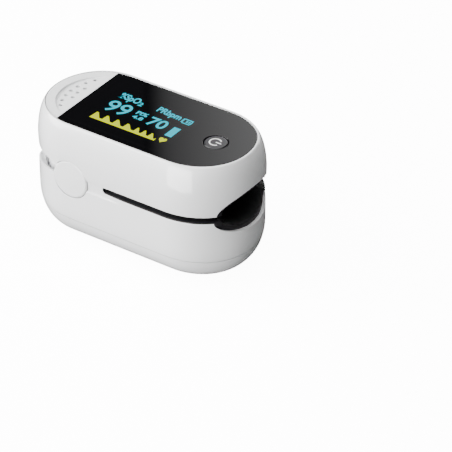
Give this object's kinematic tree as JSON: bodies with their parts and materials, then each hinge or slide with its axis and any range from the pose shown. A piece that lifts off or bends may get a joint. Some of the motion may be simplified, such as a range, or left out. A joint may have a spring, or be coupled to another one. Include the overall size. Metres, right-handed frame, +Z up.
{
  "type": "fingertip pulse oximeter",
  "caption": "Clip-on fingertip pulse oximeter: two sprung white jaws on a side hinge, a black display window with a power button, a sound grille and a sliding battery door.",
  "frame": {"origin": "bottom centre of the closed device's bounding box, on the underside", "axes": "+X out of the finger opening, +Y across the device, +Z up through the display"},
  "size_m": [0.061, 0.031, 0.033],
  "materials": {
    "white_plastic": "semi-gloss moulded",
    "grille_plastic": "satin moulded",
    "frame_plastic": "matte moulded",
    "window_acrylic": "polished",
    "button_plastic": "fine satin",
    "black_silicone": "matte",
    "black_foam": "foam",
    "display_glass": "polished",
    "circuit_board": "solder mask",
    "chip_epoxy": "moulded epoxy",
    "optical_lens": "clear tinted",
    "spring_steel": "bright",
    "cell_jacket": "gloss",
    "flex_polyimide": "satin film"
  },
  "bodies": {
    "lower": {"lower_shell": "white_plastic", "bottom_cover": "white_plastic", "hinge_cap_left": "white_plastic", "hinge_cap_right": "white_plastic", "lower_frame": "frame_plastic", "rear_baffle": "frame_plastic", "lower_pad": "black_silicone", "sensor_board": "circuit_board", "photodiode": "chip_epoxy", "sensor_lens": "optical_lens", "hinge_pin_left": "spring_steel", "hinge_pin_right": "spring_steel", "torsion_spring_left": "spring_steel", "torsion_spring_right": "spring_steel", "contact_bridge": "spring_steel", "contact_plate_positive": "spring_steel", "contact_plate_negative": "spring_steel", "contact_spring_rear": "spring_steel", "contact_spring_front": "spring_steel", "lower_screw_1": "spring_steel", "lower_screw_2": "spring_steel", "battery_1": "cell_jacket", "battery_2": "cell_jacket", "flex_cable": "flex_polyimide"},
    "upper": {"upper_shell": "white_plastic", "display_window": "window_acrylic", "grille_plate": "grille_plastic", "upper_frame": "frame_plastic", "upper_pad": "black_silicone", "display_module": "display_glass", "display_gasket": "black_foam", "main_board": "circuit_board", "processor_chip": "chip_epoxy", "buzzer": "spring_steel", "tact_switch": "chip_epoxy", "upper_screw_1": "spring_steel", "upper_screw_2": "spring_steel", "upper_screw_3": "spring_steel", "upper_screw_4": "spring_steel", "emitter_board": "circuit_board", "emitter_leds": "chip_epoxy", "emitter_lens": "optical_lens"},
    "power_button": {"power_button": "button_plastic", "switch_plunger": "button_plastic"},
    "battery_door": {"battery_door": "white_plastic"}
  },
  "joints": [
    {"name": "jaw_hinge", "type": "hinge", "parent": "lower", "child": "upper", "pos_m": [-0.0132, 0, 0.0186], "axis": [0, -1, 0], "range_deg": [0, 18], "stiffness_Nm_per_rad": 0.2, "springref_deg": -22.92, "deforming": ["torsion_spring_left", "torsion_spring_right", "flex_cable"]},
    {"name": "power_button_press", "type": "slide", "parent": "upper", "child": "power_button", "axis": [0, 0, -1], "range_m": [0, 0.0004], "stiffness_N_per_m": 1500, "springref_m": -0.0003},
    {"name": "battery_door_slide", "type": "slide", "parent": "lower", "child": "battery_door", "axis": [-1, 0, 0], "range_m": [0, 0.01]}
  ]
}
